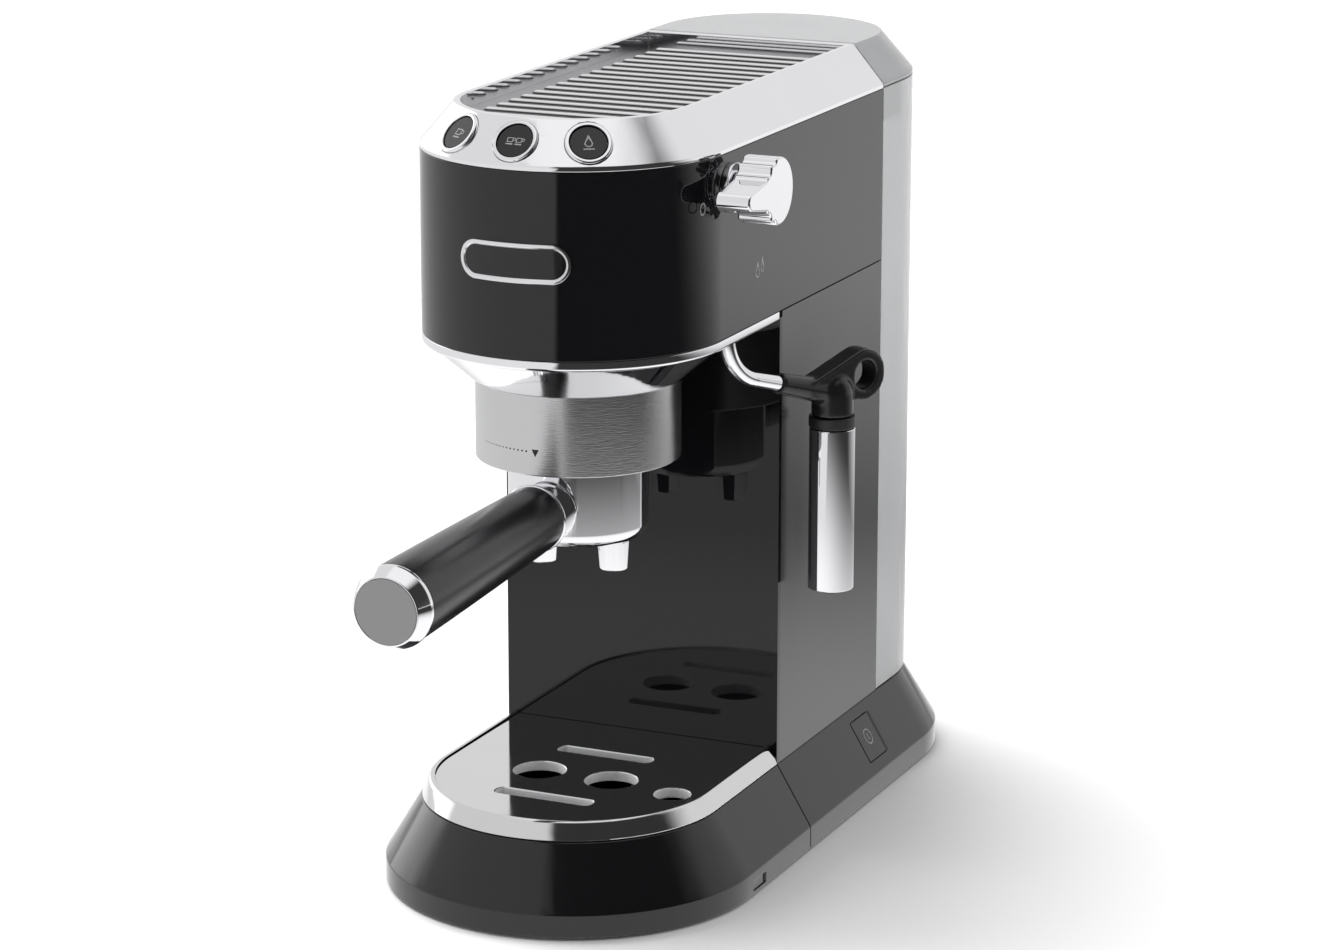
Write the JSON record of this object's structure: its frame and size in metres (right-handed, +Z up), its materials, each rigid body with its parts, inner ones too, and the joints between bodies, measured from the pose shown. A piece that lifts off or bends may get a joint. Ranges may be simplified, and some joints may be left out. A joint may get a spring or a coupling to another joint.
{
  "type": "espresso machine",
  "caption": "Slim pump espresso machine with a round-nosed head over a drip tray, a handled filter holder, a swinging steam wand, a cup warmer and a lift-off rear water tank.",
  "frame": {"origin": "on the table under the brew group's axis, at the face of the front rubber foot", "axes": "+X to the right as seen by the user, +Y to the back, +Z up; the filter holder's handle points along -Y"},
  "size_m": [0.163, 0.4103, 0.3076],
  "materials": {
    "gloss_black": "moulded, high gloss",
    "base_black": "moulded, gloss",
    "panel_black": "mirror gloss",
    "side_grey": "smooth semi-gloss lacquer",
    "dark_plastic": "moulded, matt",
    "chrome": "bright plated",
    "brushed_steel": "brushed along one way",
    "polished_steel": "polished sheet",
    "cast_alloy": "as cast",
    "brass": "machined",
    "rubber": "matt",
    "grip_black": "satin, fine grain",
    "button_black": "gloss, lit from behind",
    "disc_grey": "satin",
    "smoke_plastic": "tinted clear plastic",
    "clear_plastic": "lightly tinted clear plastic",
    "circuit_board": "solder mask",
    "silicone": "translucent hose",
    "white_plastic": "moulded",
    "pump_body": "moulded with steel yoke"
  },
  "bodies": {
    "machine": {"base_shell": "base_black", "base_plate": "dark_plastic", "rubber_feet": "rubber", "front_panel": "panel_black", "side_panel_left": "side_grey", "side_panel_right": "side_grey", "rear_panel": "dark_plastic", "head_shell": "gloss_black", "head_floor": "dark_plastic", "head_trim": "chrome", "top_bezel": "chrome", "cup_warmer": "brushed_steel", "button_rings": "chrome", "group_collar": "brushed_steel", "group_casting": "cast_alloy", "bayonet_ring": "cast_alloy", "group_gasket": "rubber", "shower_screen": "polished_steel", "shower_screw": "polished_steel", "thermoblock": "cast_alloy", "screws": "polished_steel", "pump": "pump_body", "pump_mounts": "rubber", "flow_meter": "white_plastic", "brew_valve": "dark_plastic", "steam_valve": "brass", "control_board": "circuit_board", "button_board": "circuit_board", "hoses": "silicone", "tank_coupling": "dark_plastic", "knob_escutcheon": "chrome", "wand_socket": "chrome", "power_switch": "dark_plastic", "cable_inlet": "rubber"},
    "button_one": {"button_one_cup": "button_black"},
    "button_two": {"button_two_cup": "button_black"},
    "button_three": {"button_steam": "button_black"},
    "flap": {"power_flap": "base_black"},
    "knob": {"steam_knob": "chrome", "knob_spindle": "polished_steel"},
    "wand": {"wand_pipe": "chrome", "wand_grip": "grip_black", "frother_ring": "dark_plastic", "steam_nozzle": "dark_plastic"},
    "sleeve": {"frother_sleeve": "chrome"},
    "tank": {"water_tank": "clear_plastic", "tank_valve": "rubber", "tank_filter": "white_plastic", "lid_bracket": "dark_plastic"},
    "lid": {"tank_lid": "smoke_plastic"},
    "tray": {"drip_tray": "base_black"},
    "grate": {"drip_grate": "polished_steel"},
    "float": {"tray_float": "dark_plastic"},
    "holder": {"filter_holder": "chrome", "coffee_spouts": "chrome", "handle_grip": "grip_black", "handle_ring": "chrome", "handle_disc": "disc_grey", "filter_basket": "polished_steel", "basket_spring": "polished_steel"}
  },
  "joints": [
    {"name": "one_cup_press", "type": "slide", "parent": "machine", "child": "button_one", "axis": [0.3795, 0.6572, -0.6512], "range_m": [0, 0.0012], "stiffness_N_per_m": 400, "springref_m": -0.002},
    {"name": "two_cup_press", "type": "slide", "parent": "machine", "child": "button_two", "axis": [0, 0.7589, -0.6512], "range_m": [0, 0.0012], "stiffness_N_per_m": 400, "springref_m": -0.002},
    {"name": "steam_press", "type": "slide", "parent": "machine", "child": "button_three", "axis": [-0.3795, 0.6572, -0.6512], "range_m": [0, 0.0012], "stiffness_N_per_m": 400, "springref_m": -0.002},
    {"name": "power_flap_press", "type": "hinge", "parent": "machine", "child": "flap", "pos_m": [0.06157, 0.1465, 0.02966], "axis": [0.5171, 0, -0.8559], "range_deg": [0, 4], "stiffness_Nm_per_rad": 0.2, "springref_deg": -2.86},
    {"name": "steam_knob_turn", "type": "hinge", "parent": "machine", "child": "knob", "pos_m": [0.073, 0.0075, 0.277], "axis": [1, 0, 0], "range_deg": [0, 128]},
    {"name": "wand_swing", "type": "hinge", "parent": "machine", "child": "wand", "pos_m": [0.0505, 0.027, 0.2168], "axis": [0, 0, 1], "range_deg": [-100, 0]},
    {"name": "sleeve_slide", "type": "slide", "parent": "wand", "child": "sleeve", "axis": [0, 0, -1], "range_m": [0, 0.005]},
    {"name": "tank_lift", "type": "slide", "parent": "machine", "child": "tank", "axis": [0, 0, 1], "range_m": [0, 0.28]},
    {"name": "lid_hinge", "type": "hinge", "parent": "tank", "child": "lid", "pos_m": [0, 0.1689, 0.3044], "axis": [1, 0, 0], "range_deg": [0, 85]},
    {"name": "tray_slide", "type": "slide", "parent": "machine", "child": "tray", "axis": [0, -1, 0], "range_m": [0, 0.16]},
    {"name": "grate_lift", "type": "slide", "parent": "tray", "child": "grate", "axis": [0, 0, 1], "range_m": [0, 0.05]},
    {"name": "float_rise", "type": "slide", "parent": "tray", "child": "float", "axis": [0, 0, 1], "range_m": [0, 0.008]},
    {"name": "holder_turn", "type": "hinge", "parent": "machine", "child": "holder", "pos_m": [0, 0, 0.177], "axis": [0, 0, 1], "range_deg": [-45, 0]}
  ]
}
